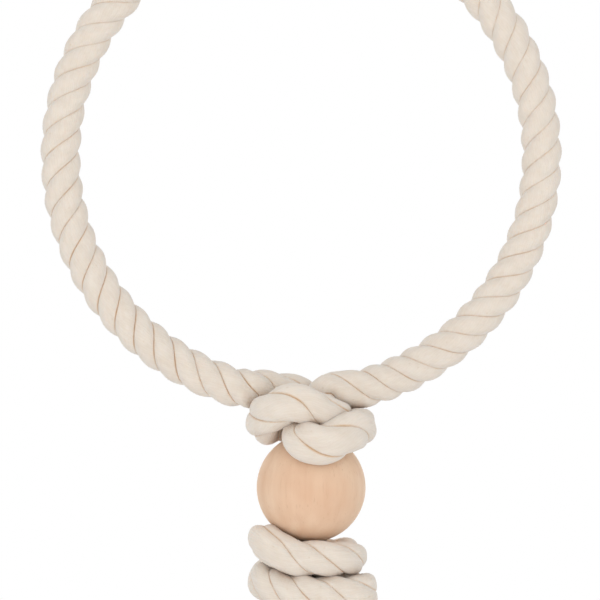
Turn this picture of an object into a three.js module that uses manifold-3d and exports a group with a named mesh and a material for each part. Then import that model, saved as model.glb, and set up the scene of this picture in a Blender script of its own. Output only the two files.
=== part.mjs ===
// Rope ring bird swing: a stiffened ring of thick cotton rope, knotted at its foot round the rope that
// carries two wooden balls between knots, hung from a steel ring and a snap hook.
// Millimetres, +Z up, the ring in the XZ plane. The origin is where the cage bar bears in the snap hook.

import * as THREE from 'three';
import { mergeVertices } from 'three/addons/utils/BufferGeometryUtils.js';
import Module from 'manifold-3d';

const wasm = await Module();
wasm.setup();

// Rope ring
const ROPE_DIAMETER = 14.2;
const RING_RADIUS = 88.1; // centreline of the rope
const WIRE_DIAMETER = 3; // stiffening hoop inside the rope
const WIRE_END_MARGIN = 4; // the hoop stops this far inside each rope end

// Balls and the string below the ring
const BALL_DIAMETER = 40;
const ROPE_IN_BORE = 0.33; // radius of the rope squeezed in a ball, in rope diameters
const BORE_CHAMFER = 0.8;
const TAIL_LENGTH = 24; // rope left below the end knot
const END_KNOT_TURN = 0.6; // end knot against the middle knot, about the drop line, in radians

// Steel ring round the rope
const HANGER_WIRE = 4;
const HANGER_CLEARANCE = 6.8; // room left in the steel ring beside the rope and the hook

// Snap hook
const HOOK_LENGTH = 50;
const HOOK_BOW_WIDTH = 25;
const HOOK_FOOT_WIDTH = 18;
const HOOK_WIRE = 5;
const GATE_DIAMETER = 4.8;
const TONGUE_THICKNESS = 2;
const TONGUE_SETBACK = 0.2; // eye of the hook inside the gate's round foot
const SLOT_DEPTH = 3.2; // slots in both ends of the gate
const GATE_FOOT = 6.5; // from the foot bend up the open side to the gate rivet
const NOSE_LENGTH = 3; // wire of the hook past its bow, above the gate
const RIVET_DIAMETER = 2.2;
const RIVET_HEAD_DIAMETER = 3.4;
const RIVET_HEAD_HEIGHT = 0.7;
const SPRING_WIRE = 0.5;
const SPRING_DIAMETER = 2.2; // outside
const SPRING_TURNS = 6;
const SPRING_PITCH = 1.05;

// Fits and balance
const FIT_GAP = 0.3; // between pieces that touch
const RING_SIDE_SHIFT = 1.9; // ring centre left of the hanging line, which puts the weight under it

// Facets
const ROPE_SIDES = 12;
const KNOT_SIDES = 8;
const RING_STEPS = 64;
const STEPS_PER_POINT = 3;
const ROUND_SIDES = 12;

// The ring's two ends leave its circle this far from the drop line, in rope diameters
const RIGHT_END_OFFSET = 1.55;
const LEFT_END_OFFSET = -1.95;

// Place of the noose knot: right of the ring's centre and below its lowest point, in rope diameters
const NOOSE_SIDE = 0.28;
const NOOSE_DROP = 0.72;

// Knot routes in rope diameters about each knot's middle: x right, y back, z up, then the rope's radius,
// which is full where it lies outside and pressed thin where it passes through the knot.
const NOOSE_ROUTE = [
  [0.75, -0.05, 0.83, 0.375],
  [0.23, -0.15, 0.84, 0.33],
  [-0.21, -0.4, 0.58, 0.315],
  [-0.31, -0.53, 0.17, 0.31],
  [-0.32, -0.79, -0.1, 0.315],
  [-0.34, -1.11, -0.28, 0.36],
  [-0.235, -1.425, -0.39, 0.38],
  [0.08, -1.555, -0.48, 0.42],
  [0.44, -1.555, -0.505, 0.42],
  [0.78, -1.375, -0.39, 0.42],
  [1.06, -1.035, -0.245, 0.42],
  [1.23, -0.65, -0.155, 0.42],
  [1.255, -0.235, -0.08, 0.42],
  [1.115, 0.39, -0.025, 0.42],
  [0.675, 1.01, 0.025, 0.42],
  [0, 1.27, 0.025, 0.42],
  [-0.675, 1.06, -0.025, 0.42],
  [-1.14, 0.44, -0.05, 0.42],
  [-1.295, -0.205, 0.03, 0.42],
  [-1.115, -0.805, 0.345, 0.42],
  [-0.65, -1.18, 0.62, 0.42],
  [-0.13, -1.265, 0.605, 0.4],
  [0.235, -1.06, 0.455, 0.37],
  [0.465, -0.75, 0.285, 0.335],
  [0.49, -0.44, 0.18, 0.33],
];
const STANDING_ROUTE = [
  [-1.295, 0.23, 0.93, 0.43],
  [-0.775, 0.38, 0.83, 0.37],
  [-0.34, 0.42, 0.645, 0.32],
  [-0.12, 0.34, 0.41, 0.31],
  [-0.03, 0.15, 0.18, 0.31],
  [0, 0.03, -0.01, 0.31],
];
const STOPPER_ROUTE = [
  [0, 0, 0.78, 0.32],
  [0.08, 0, 0.465, 0.32],
  [0.22, 0, 0.155, 0.32],
  [0.325, 0, -0.12, 0.305],
  [0.5, 0, -0.34, 0.325],
  [0.775, -0.025, -0.52, 0.375],
  [1.14, -0.18, -0.61, 0.415],
  [1.32, -0.57, -0.71, 0.42],
  [1.165, -0.96, -0.765, 0.42],
  [0.75, -1.115, -0.775, 0.42],
  [0.26, -1.14, -0.775, 0.42],
  [-0.335, -1.09, -0.74, 0.42],
  [-0.88, -0.88, -0.585, 0.42],
  [-1.23, -0.335, -0.44, 0.42],
  [-1.14, 0.39, -0.335, 0.42],
  [-0.65, 0.93, -0.155, 0.42],
  [0.05, 1.09, 0.04, 0.42],
  [0.7, 0.88, 0.235, 0.42],
  [1.05, 0.26, 0.31, 0.42],
  [1.025, -0.44, 0.285, 0.42],
  [0.7, -0.96, 0.235, 0.42],
  [0.155, -1.14, 0.205, 0.42],
  [-0.365, -1.14, 0.245, 0.42],
  [-0.75, -1.115, 0.325, 0.42],
  [-1.125, -0.96, 0.43, 0.42],
  [-1.295, -0.57, 0.49, 0.42],
  [-1.125, -0.195, 0.49, 0.4],
  [-0.775, -0.025, 0.39, 0.35],
  [-0.555, 0, 0.18, 0.325],
  [-0.415, 0, -0.105, 0.315],
  [-0.265, 0, -0.41, 0.305],
  [-0.045, 0, -0.74, 0.31],
  [0, 0, -0.97, 0.31],
];

const COTTON = { color: 0xe7dccf, roughness: 0.95, metalness: 0 };
const WOOD = { color: 0xe3c3a6, roughness: 0.6, metalness: 0 };
const PLATED_STEEL = { color: 0xc4c7ca, roughness: 0.28, metalness: 1 };
const PLAIN_STEEL = { color: 0x8f9397, roughness: 0.45, metalness: 1 };

// Heights from the hanging point down to the ring's centre
const ropeRadius = ROPE_DIAMETER / 2;
const hookInnerFoot = 2 * HOOK_WIRE - HOOK_LENGTH;
const hangerInner = (ROPE_DIAMETER + HOOK_WIRE + HANGER_CLEARANCE) / 2;
const hangerPivotZ = hookInnerFoot + FIT_GAP + HANGER_WIRE / 2;
const hangerZ = hangerPivotZ - HANGER_WIRE / 2 - hangerInner;
const ropeTopZ = hangerZ - hangerInner + FIT_GAP + ropeRadius;
const ringZ = ropeTopZ - RING_RADIUS;

// A merged, outward-facing copy of a closed geometry with only its positions left.
function closed(geometry) {
  geometry.deleteAttribute('normal');
  geometry.deleteAttribute('uv');
  const merged = mergeVertices(geometry, 1e-4);
  const index = Array.from(merged.index.array);
  const position = merged.attributes.position;
  const corner = [new THREE.Vector3(), new THREE.Vector3(), new THREE.Vector3()];
  const kept = [];
  let volume = 0;
  for (let i = 0; i < index.length; i += 3) {
    const [a, b, c] = index.slice(i, i + 3);
    if (a !== b && b !== c && c !== a) {
      [a, b, c].forEach((vertex, k) => corner[k].fromBufferAttribute(position, vertex));
      volume += corner[0].dot(corner[1].cross(corner[2]));
      kept.push(a, b, c);
    }
  }
  if (volume < 0) {
    kept.reverse();
  }
  merged.setIndex(kept);
  return merged;
}

function toSolid(geometry) {
  const source = closed(geometry);
  const vertProperties = new Float32Array(source.attributes.position.array);
  const triVerts = new Uint32Array(source.index.array);
  return new wasm.Manifold(new wasm.Mesh({ numProp: 3, vertProperties, triVerts }));
}

function fromSolid(solid) {
  const { vertProperties, triVerts } = solid.getMesh();
  const geometry = new THREE.BufferGeometry();
  geometry.setAttribute('position', new THREE.Float32BufferAttribute(vertProperties, 3));
  geometry.setIndex(Array.from(triVerts));
  return geometry;
}

function meshOf(name, geometry, finish) {
  const shape = closed(geometry);
  shape.computeVertexNormals();
  const mesh = new THREE.Mesh(shape, new THREE.MeshStandardMaterial(finish));
  mesh.name = name;
  return mesh;
}

function circleShape(radius, sides) {
  const corners = [];
  for (let i = 0; i < sides; i += 1) {
    const angle = (2 * Math.PI * i) / sides;
    corners.push(new THREE.Vector2(radius * Math.cos(angle), radius * Math.sin(angle)));
  }
  return new THREE.Shape(corners);
}

// A round rod along a curve.
function rod(curve, diameter, sides, steps) {
  const options = { steps, extrudePath: curve, bevelEnabled: false };
  return new THREE.ExtrudeGeometry(circleShape(diameter / 2, sides), options);
}

// A cylinder of a given length, centred, along Y.
function pin(diameter, length) {
  return new THREE.CylinderGeometry(diameter / 2, diameter / 2, length, ROUND_SIDES * 2);
}

// Part of a circle in the XZ plane, at angles measured from +X toward +Z.
class RingArc extends THREE.Curve {
  constructor(radius, from, to) {
    super();
    this.radius = radius;
    this.from = from;
    this.to = to;
  }

  getPoint(t, target = new THREE.Vector3()) {
    const angle = this.from + (this.to - this.from) * t;
    return target.set(this.radius * Math.cos(angle), 0, this.radius * Math.sin(angle));
  }
}

// Places along a rope route: a cubic B-spline led by [x, y, z, radius] points, which starts and ends on
// the first and last of them.
function followRoute(points) {
  const last = points.length - 1;
  const mirror = (end, next) => end.map((value, k) => 2 * value - next[k]);
  const held = [mirror(points[0], points[1]), ...points, mirror(points[last], points[last - 1])];
  const places = [];
  for (let i = 0; i < last; i += 1) {
    for (let step = 0; step < STEPS_PER_POINT; step += 1) {
      const u = step / STEPS_PER_POINT;
      const weights = [
        (1 - u) ** 3,
        3 * u ** 3 - 6 * u ** 2 + 4,
        -3 * u ** 3 + 3 * u ** 2 + 3 * u + 1,
        u ** 3,
      ];
      const blend = (k) => weights.reduce((sum, w, j) => sum + (w * held[i + j][k]) / 6, 0);
      places.push({ at: new THREE.Vector3(blend(0), blend(1), blend(2)), radius: blend(3) });
    }
  }
  const [x, y, z, radius] = points[last];
  places.push({ at: new THREE.Vector3(x, y, z), radius });
  return places;
}

// One unbroken tube along rope places, with flat ends.
function ropeTube(places, sides) {
  const positions = [];
  const index = [];
  const tangentAt = (i) => {
    const before = places[Math.max(i - 1, 0)].at;
    const after = places[Math.min(i + 1, places.length - 1)].at;
    return after.clone().sub(before).normalize();
  };
  const normal = new THREE.Vector3(1, 0.37, 0.21);
  places.forEach(({ at, radius }, i) => {
    const tangent = tangentAt(i);
    normal.addScaledVector(tangent, -normal.dot(tangent)).normalize();
    const side = tangent.clone().cross(normal);
    for (let k = 0; k < sides; k += 1) {
      const angle = (2 * Math.PI * k) / sides;
      const corner = at.clone().addScaledVector(normal, radius * Math.cos(angle));
      corner.addScaledVector(side, radius * Math.sin(angle));
      positions.push(...corner.toArray());
    }
  });
  for (let i = 0; i + 1 < places.length; i += 1) {
    for (let k = 0; k < sides; k += 1) {
      const a = i * sides + k;
      const b = i * sides + ((k + 1) % sides);
      index.push(a, b, b + sides, a, b + sides, a + sides);
    }
  }
  const top = (places.length - 1) * sides;
  for (let k = 1; k + 1 < sides; k += 1) {
    index.push(0, k + 1, k);
    index.push(top, top + k, top + k + 1);
  }
  const geometry = new THREE.BufferGeometry();
  geometry.setAttribute('position', new THREE.Float32BufferAttribute(positions, 3));
  geometry.setIndex(index);
  return geometry;
}

// The least gap between stretches of one rope that lie apart along its length.
function leastGap(places) {
  const along = [0];
  for (let i = 1; i < places.length; i += 1) {
    along.push(along[i - 1] + places[i].at.distanceTo(places[i - 1].at));
  }
  let least = Infinity;
  for (let i = 0; i < places.length; i += 1) {
    for (let j = i + 1; j < places.length; j += 1) {
      const radii = places[i].radius + places[j].radius;
      if (along[j] - along[i] > 1.5 * radii) {
        least = Math.min(least, places[i].at.distanceTo(places[j].at) - radii);
      }
    }
  }
  return least;
}

const inRopeDiameters = (route) => route.map((point) => point.map((value) => value * ROPE_DIAMETER));

// The ball's bore and the height of its mouths from its centre
const boreRopeRadius = ROPE_IN_BORE * ROPE_DIAMETER;
const boreRadius = boreRopeRadius + FIT_GAP;
const boreMouth = Math.sqrt((BALL_DIAMETER / 2) ** 2 - (boreRadius + BORE_CHAMFER) ** 2);

// How far a ball's centre stands from a knot's middle along Z, on the given side, when it bears on the
// knot's outer rope and its mouth is past any rope that doesn't fit the bore.
function seatDistance(route, direction) {
  const reach = BALL_DIAMETER / 2 + FIT_GAP;
  let distance = 0;
  for (const { at, radius } of followRoute(inRopeDiameters(route))) {
    const across = Math.hypot(at.x, at.y);
    const height = direction * at.z;
    if (across > boreRadius && across < reach + radius) {
      distance = Math.max(distance, height + Math.sqrt((reach + radius) ** 2 - across ** 2));
    } else if (across + radius > boreRadius) {
      distance = Math.max(distance, height + boreMouth);
    }
  }
  return distance;
}

// The string below the ring, about the noose knot's middle
const upperBallZ = -seatDistance(NOOSE_ROUTE, -1);
const middleKnotZ = upperBallZ - seatDistance(STOPPER_ROUTE, 1);
const lowerBallZ = middleKnotZ - seatDistance(STOPPER_ROUTE, -1);
const endKnotZ = lowerBallZ - seatDistance(STOPPER_ROUTE, 1);

const nooseX = NOOSE_SIDE * ROPE_DIAMETER;
const nooseZ = -RING_RADIUS - NOOSE_DROP * ROPE_DIAMETER;

// Angle on the ring, from +X toward +Z, of the rope end at an offset from the drop line.
function ringEndAngle(offset) {
  return -Math.acos((nooseX + offset * ROPE_DIAMETER) / RING_RADIUS);
}

// The first points of a rope end that carries on from the ring, about the noose knot's middle.
function leaveRing(offset) {
  const angle = ringEndAngle(offset);
  const inward = -Math.sign(offset);
  const ahead = (distance, radius) => {
    const turned = angle + (inward * distance) / RING_RADIUS;
    const x = RING_RADIUS * Math.cos(turned) - nooseX;
    const z = RING_RADIUS * Math.sin(turned) - nooseZ;
    return [x, 0, z, radius];
  };
  return [ahead(FIT_GAP, ropeRadius), ahead(0.3 * ROPE_DIAMETER, 0.94 * ropeRadius)];
}

function ringRope() {
  const from = ringEndAngle(RIGHT_END_OFFSET);
  const to = 2 * Math.PI + ringEndAngle(LEFT_END_OFFSET);
  const arc = new RingArc(RING_RADIUS, from, to);
  const section = circleShape(ropeRadius, ROPE_SIDES);
  section.holes.push(circleShape(WIRE_DIAMETER / 2 + FIT_GAP, KNOT_SIDES));
  const options = { steps: RING_STEPS, extrudePath: arc, bevelEnabled: false };
  return meshOf('ring_rope', new THREE.ExtrudeGeometry(section, options), COTTON);
}

function ringWire() {
  const margin = WIRE_END_MARGIN / RING_RADIUS;
  const from = ringEndAngle(RIGHT_END_OFFSET) + margin;
  const to = 2 * Math.PI + ringEndAngle(LEFT_END_OFFSET) - margin;
  const hoop = rod(new RingArc(RING_RADIUS, from, to), WIRE_DIAMETER, KNOT_SIDES, RING_STEPS);
  return meshOf('ring_wire', hoop, PLAIN_STEEL);
}

function knotMesh(name, points) {
  const places = followRoute(points);
  console.log(`${name}: least gap to itself ${leastGap(places).toFixed(2)} mm`);
  return meshOf(name, ropeTube(places, KNOT_SIDES), COTTON);
}

function nooseKnot() {
  const route = inRopeDiameters(NOOSE_ROUTE);
  return knotMesh('noose_knot', [...leaveRing(RIGHT_END_OFFSET), ...route]);
}

function standingRope() {
  const foot = [0, 0, upperBallZ + BALL_DIAMETER / 2 + FIT_GAP, boreRopeRadius];
  const route = inRopeDiameters(STANDING_ROUTE);
  return knotMesh('standing_rope', [...leaveRing(LEFT_END_OFFSET), ...route, foot]);
}

// A stopper knot turned about the drop line, with straight rope above and below it.
function stopperKnot(name, turn, above, below, belowRadius) {
  const route = inRopeDiameters(STOPPER_ROUTE).map(([x, y, z, radius]) => {
    const turnedX = x * Math.cos(turn) - y * Math.sin(turn);
    const turnedY = x * Math.sin(turn) + y * Math.cos(turn);
    return [turnedX, turnedY, z, radius];
  });
  const straight = (top, bottom, radius) => {
    const count = Math.max(1, Math.round((top - bottom) / ROPE_DIAMETER));
    const heights = Array.from({ length: count + 1 }, (unused, i) => top + ((bottom - top) * i) / count);
    return heights.map((z) => [0, 0, z, radius]);
  };
  const firstZ = route[0][2];
  const lastZ = route[route.length - 1][2];
  const upper = straight(above, firstZ + 0.3 * ROPE_DIAMETER, boreRopeRadius);
  const lower = straight(lastZ - 0.3 * ROPE_DIAMETER, below, belowRadius);
  return knotMesh(name, [...upper, ...route, ...lower]);
}

function middleKnot() {
  const above = upperBallZ + boreMouth - middleKnotZ - FIT_GAP;
  const below = lowerBallZ - middleKnotZ + FIT_GAP / 2;
  const knot = stopperKnot('middle_knot', 0, above, below, boreRopeRadius);
  knot.position.z = middleKnotZ;
  return knot;
}

function endKnot() {
  const above = lowerBallZ - endKnotZ - FIT_GAP / 2;
  const foot = STOPPER_ROUTE[STOPPER_ROUTE.length - 1][2] * ROPE_DIAMETER - TAIL_LENGTH;
  const knot = stopperKnot('end_knot', END_KNOT_TURN, above, foot, ropeRadius);
  knot.position.z = endKnotZ;
  return knot;
}

// A ball turned about Z, bored through and chamfered at both mouths.
function ball(name, z) {
  const radius = BALL_DIAMETER / 2;
  const mouthAngle = Math.asin((boreRadius + BORE_CHAMFER) / radius);
  const arcSteps = 16;
  const profile = [];
  for (let i = 0; i <= arcSteps; i += 1) {
    const angle = mouthAngle + ((Math.PI - 2 * mouthAngle) * i) / arcSteps;
    profile.push(new THREE.Vector2(radius * Math.sin(angle), -radius * Math.cos(angle)));
  }
  profile.push(new THREE.Vector2(boreRadius, boreMouth - BORE_CHAMFER));
  profile.push(new THREE.Vector2(boreRadius, BORE_CHAMFER - boreMouth));
  profile.push(profile[0].clone());
  const geometry = new THREE.LatheGeometry(profile, 3 * ROUND_SIDES);
  geometry.rotateX(Math.PI / 2);
  const mesh = meshOf(name, geometry, WOOD);
  mesh.position.z = z;
  return mesh;
}

function hangingRing() {
  const geometry = new THREE.TorusGeometry(hangerInner + HANGER_WIRE / 2, HANGER_WIRE / 2, 10, 40);
  geometry.rotateY(Math.PI / 2);
  const mesh = meshOf('hanging_ring', geometry, PLATED_STEEL);
  mesh.position.z = hangerZ;
  return mesh;
}

// Snap hook outline: two bends joined by straight sides, all on the wire's centreline
const bowRadius = (HOOK_BOW_WIDTH - HOOK_WIRE) / 2;
const footRadius = (HOOK_FOOT_WIDTH - HOOK_WIRE) / 2;
const bowZ = HOOK_WIRE / 2 - bowRadius;
const footZ = HOOK_WIRE * 1.5 - HOOK_LENGTH + footRadius;
const lean = Math.asin((bowRadius - footRadius) / (bowZ - footZ));
const sideFoot = new THREE.Vector3(footRadius * Math.cos(lean), 0, footZ - footRadius * Math.sin(lean));
const sideBow = new THREE.Vector3(bowRadius * Math.cos(lean), 0, bowZ - bowRadius * Math.sin(lean));
const sideUp = sideBow.clone().sub(sideFoot).normalize();
const eyeRadius = GATE_DIAMETER / 2 - TONGUE_SETBACK;
const shoulder = GATE_DIAMETER / 2 + 2 * FIT_GAP; // rivet to the full wire of the hook
const rivetAt = sideFoot.clone().addScaledVector(sideUp, GATE_FOOT);
const noseAt = sideBow.clone().addScaledVector(sideUp, -NOSE_LENGTH);
const gateLength = noseAt.distanceTo(rivetAt) - FIT_GAP;
const slotWidth = TONGUE_THICKNESS + 2 * FIT_GAP;

// A group whose Z runs up the hook's open side from the rivet.
function gateFrame() {
  const frame = new THREE.Group();
  frame.position.copy(rivetAt);
  frame.quaternion.setFromUnitVectors(new THREE.Vector3(0, 0, 1), sideUp);
  frame.updateMatrix();
  return frame;
}

// A flat tongue in the gate's frame, centred on the wire, between two heights.
function tongue(width, from, to) {
  const plate = new THREE.BoxGeometry(width, TONGUE_THICKNESS, to - from);
  plate.translate(0, 0, (from + to) / 2);
  return plate;
}

function hookBody() {
  const points = [];
  const bend = (radius, z, from, to) => {
    const count = 12;
    for (let i = 0; i <= count; i += 1) {
      const angle = from + ((to - from) * i) / count;
      points.push(new THREE.Vector3(radius * Math.cos(angle), 0, z + radius * Math.sin(angle)));
    }
  };
  points.push(rivetAt.clone().addScaledVector(sideUp, -shoulder));
  bend(footRadius, footZ, -lean, lean - Math.PI);
  bend(bowRadius, bowZ, Math.PI + lean, -lean);
  points.push(noseAt);
  const wire = rod(new THREE.CatmullRomCurve3(points, false, 'chordal'), HOOK_WIRE, 10, 52);
  const frame = gateFrame();
  const eye = pin(2 * eyeRadius, TONGUE_THICKNESS);
  const neck = tongue(2 * eyeRadius, -shoulder - FIT_GAP, 0);
  const nose = tongue(0.7 * HOOK_WIRE, gateLength - SLOT_DEPTH + 2 * FIT_GAP, gateLength + 2 * FIT_GAP);
  const hole = pin(RIVET_DIAMETER + 2 * FIT_GAP, HOOK_WIRE);
  const [eyeSolid, neckSolid, noseSolid, holeSolid] = [eye, neck, nose, hole].map((geometry) => {
    geometry.applyMatrix4(frame.matrix);
    return toSolid(geometry);
  });
  const body = toSolid(wire).add(neckSolid).add(eyeSolid).add(noseSolid).subtract(holeSolid);
  return meshOf('hook_body', fromSolid(body), PLATED_STEEL);
}

const springLength = SPRING_TURNS * SPRING_PITCH + 2 * SPRING_WIRE;
const springBore = SPRING_DIAMETER + 2 * FIT_GAP;

// The gate: a rod forked over the hook's eye at its foot and slotted over its nose at its head.
function hookGate() {
  const bar = new THREE.CylinderGeometry(GATE_DIAMETER / 2, GATE_DIAMETER / 2, gateLength, 2 * ROUND_SIDES);
  bar.rotateX(Math.PI / 2);
  bar.translate(0, 0, gateLength / 2);
  const knuckle = pin(GATE_DIAMETER, GATE_DIAMETER);
  const fork = new THREE.BoxGeometry(2 * GATE_DIAMETER, slotWidth, GATE_DIAMETER + SLOT_DEPTH);
  fork.translate(0, 0, SLOT_DEPTH - (GATE_DIAMETER + SLOT_DEPTH) / 2);
  const slot = new THREE.BoxGeometry(2 * GATE_DIAMETER, slotWidth, 2 * SLOT_DEPTH);
  slot.translate(0, 0, gateLength);
  const hole = pin(RIVET_DIAMETER + 2 * FIT_GAP, 2 * GATE_DIAMETER);
  const wellRadius = springBore / 2;
  const well = new THREE.CylinderGeometry(wellRadius, wellRadius, springLength + FIT_GAP, ROUND_SIDES);
  well.rotateX(Math.PI / 2);
  well.translate(0, 0, SLOT_DEPTH + (springLength - FIT_GAP) / 2);
  let gate = toSolid(bar).add(toSolid(knuckle));
  for (const cut of [fork, slot, hole, well]) {
    gate = gate.subtract(toSolid(cut));
  }
  const frame = gateFrame();
  frame.add(meshOf('hook_gate', fromSolid(gate), PLATED_STEEL));
  return frame;
}

// The gate spring: a coil in the well of the gate's foot, which presses on the hook's eye.
function gateSpring() {
  const radius = (SPRING_DIAMETER - SPRING_WIRE) / 2;
  const turnSteps = 8;
  const places = [];
  for (let i = 0; i <= SPRING_TURNS * turnSteps; i += 1) {
    const angle = (2 * Math.PI * i) / turnSteps;
    const height = SLOT_DEPTH + SPRING_WIRE + (SPRING_PITCH * i) / turnSteps;
    const at = new THREE.Vector3(radius * Math.cos(angle), radius * Math.sin(angle), height);
    places.push({ at, radius: SPRING_WIRE / 2 });
  }
  console.log(`gate_spring: least gap to itself ${leastGap(places).toFixed(2)} mm`);
  const frame = gateFrame();
  frame.add(meshOf('gate_spring', ropeTube(places, 5), PLAIN_STEEL));
  return frame;
}

function gateRivet() {
  const half = GATE_DIAMETER / 2 + FIT_GAP;
  const shank = RIVET_DIAMETER / 2;
  const head = RIVET_HEAD_DIAMETER / 2;
  const tip = half + RIVET_HEAD_HEIGHT;
  const profile = [[0, -tip], [0.7 * head, -tip], [head, -half], [shank, -half]];
  const mirrored = profile.map(([radius, y]) => [radius, -y]).reverse();
  const outline = [...profile, ...mirrored].map(([radius, y]) => new THREE.Vector2(radius, y));
  const frame = gateFrame();
  frame.add(meshOf('gate_rivet', new THREE.LatheGeometry(outline, 2 * ROUND_SIDES), PLATED_STEEL));
  return frame;
}

function ballString() {
  const group = new THREE.Group();
  group.add(nooseKnot(), standingRope(), ball('upper_ball', upperBallZ), middleKnot());
  group.add(ball('lower_ball', lowerBallZ), endKnot());
  group.position.set(nooseX, 0, nooseZ);
  return group;
}

function ropeRing() {
  const group = new THREE.Group();
  group.add(ringRope(), ringWire(), ballString());
  group.position.set(-RING_SIDE_SHIFT, 0, ringZ);
  return group;
}

const swing = new THREE.Group();
swing.add(hookBody(), hookGate(), gateSpring(), gateRivet(), hangingRing(), ropeRing());

export default swing;
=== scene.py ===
"""Looks of a rope ring bird swing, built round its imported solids.

Lengths are in metres in the part's own frame: +Z up, the rope ring in the XZ plane, seen from -Y.
"""

import logging
import math
from dataclasses import dataclass, field
from enum import Enum
from typing import Callable, Sequence

import bmesh
import bpy
import numpy as np
from bmesh.types import BMEdge, BMesh, BMFace, BMVert
from bpy.types import Material, Mesh, Node, NodeSocket, Object, World
from mathutils import Matrix, Vector, noise
from mathutils.bvhtree import BVHTree


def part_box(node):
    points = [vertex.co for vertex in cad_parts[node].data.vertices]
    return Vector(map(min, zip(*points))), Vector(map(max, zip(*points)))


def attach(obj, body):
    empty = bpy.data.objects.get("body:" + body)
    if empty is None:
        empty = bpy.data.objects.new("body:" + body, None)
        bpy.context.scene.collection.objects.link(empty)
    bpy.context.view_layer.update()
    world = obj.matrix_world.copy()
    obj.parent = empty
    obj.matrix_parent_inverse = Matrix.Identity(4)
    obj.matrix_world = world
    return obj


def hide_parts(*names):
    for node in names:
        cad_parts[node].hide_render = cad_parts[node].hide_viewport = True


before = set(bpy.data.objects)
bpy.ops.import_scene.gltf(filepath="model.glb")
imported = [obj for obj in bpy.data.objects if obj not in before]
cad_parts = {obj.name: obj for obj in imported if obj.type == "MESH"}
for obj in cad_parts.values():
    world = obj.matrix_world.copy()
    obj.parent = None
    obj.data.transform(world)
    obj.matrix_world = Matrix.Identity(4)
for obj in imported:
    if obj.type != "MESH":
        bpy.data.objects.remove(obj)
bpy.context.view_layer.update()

log = logging.getLogger("rope_ring_swing")

Colour = tuple[float, float, float, float]
Feed = float | Sequence[float] | NodeSocket
Feeds = dict[str | int, Feed]
Pair = tuple[float, float]
Triple = tuple[float, float, float]
Keys = Sequence[Pair]

MM = 0.001
FULL_TURN = 2 * math.pi
# Points nearer than the first are one, heights within the second are level, and a cut within the
# third of a corner runs through it
MERGE_DISTANCE = 1e-7
LEVEL = 1e-6
CUT_REACH = 5e-6
WHITE = (1.0, 1.0, 1.0, 1.0)
UNIT = (0.0, 1.0)

ROPE_DIAMETER = 14.2 * MM
RING_RADIUS = 88.1 * MM
RING_CENTRE = Vector((-1.9 * MM, 0.0, -146.4 * MM))
NOOSE_SIDE = 0.28 * ROPE_DIAMETER
NOOSE_DROP = 0.72 * ROPE_DIAMETER
NOOSE_CENTRE = RING_CENTRE + Vector((NOOSE_SIDE, 0.0, -RING_RADIUS - NOOSE_DROP))
STOPPER_BELOW_BALL = 28.0 * MM
END_KNOT_TURN = 0.6
# Half size of the rope where it passes through a ball, and the rope that leads straight into a knot
THIN_HALF = 0.33 * ROPE_DIAMETER
LEAD = 0.3 * ROPE_DIAMETER

# Samples to each stretch of a route, distance between rows, and rows that each turn is evened over
ROUTE_SAMPLES = 24
STATION_SPACING = 1.1 * MM
TURN_SMOOTHING = 3
# Keeps the direction away from the drop line from vanishing on the line itself
FRONT_BIAS = 1e-4

# Ends of the ring from the drop line, in rope diameters
RIGHT_END_OFFSET = 1.55
LEFT_END_OFFSET = -1.95

# Rope routes in rope diameters about each knot's middle: x, y, z, half width along the wrap's face
# and half thickness across it
NOOSE_ROUTE = (
    (0.77, -0.05, 0.86, 0.51, 0.48),
    (0.41, -0.11, 0.94, 0.49, 0.45),
    (0.20, -0.24, 0.60, 0.45, 0.39),
    (-0.12, -0.46, 0.22, 0.38, 0.33),
    (-0.32, -0.79, -0.10, 0.40, 0.34),
    (-0.34, -1.05, -0.28, 0.46, 0.38),
    (-0.235, -1.28, -0.39, 0.52, 0.42),
    (0.08, -1.40, -0.46, 0.56, 0.45),
    (0.44, -1.40, -0.46, 0.56, 0.46),
    (0.78, -1.25, -0.28, 0.56, 0.46),
    (1.06, -0.98, -0.12, 0.53, 0.46),
    (1.23, -0.65, -0.07, 0.50, 0.46),
    (1.255, -0.235, -0.05, 0.46, 0.46),
    (1.115, 0.39, -0.025, 0.48, 0.47),
    (0.675, 1.01, 0.025, 0.50, 0.45),
    (0.0, 1.27, 0.025, 0.50, 0.45),
    (-0.675, 1.06, -0.025, 0.50, 0.45),
    (-1.14, 0.44, -0.09, 0.53, 0.46),
    (-1.295, -0.205, 0.10, 0.48, 0.46),
    (-1.115, -0.805, 0.30, 0.52, 0.46),
    (-0.65, -1.18, 0.56, 0.54, 0.46),
    (-0.16, -1.265, 0.55, 0.51, 0.45),
    (0.20, -1.14, 0.40, 0.47, 0.43),
    (0.54, -0.92, 0.24, 0.45, 0.40),
    (0.80, -0.58, 0.16, 0.40, 0.36),
)
STANDING_ROUTE = (
    (-1.295, 0.23, 0.93, 0.49, 0.47),
    (-0.775, 0.38, 0.86, 0.47, 0.44),
    (-0.29, 0.42, 0.80, 0.47, 0.42),
    (-0.06, 0.34, 0.55, 0.42, 0.36),
    (-0.03, 0.15, 0.18, 0.34, 0.32),
    (0.0, 0.03, -0.01, 0.33, 0.33),
)
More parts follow.
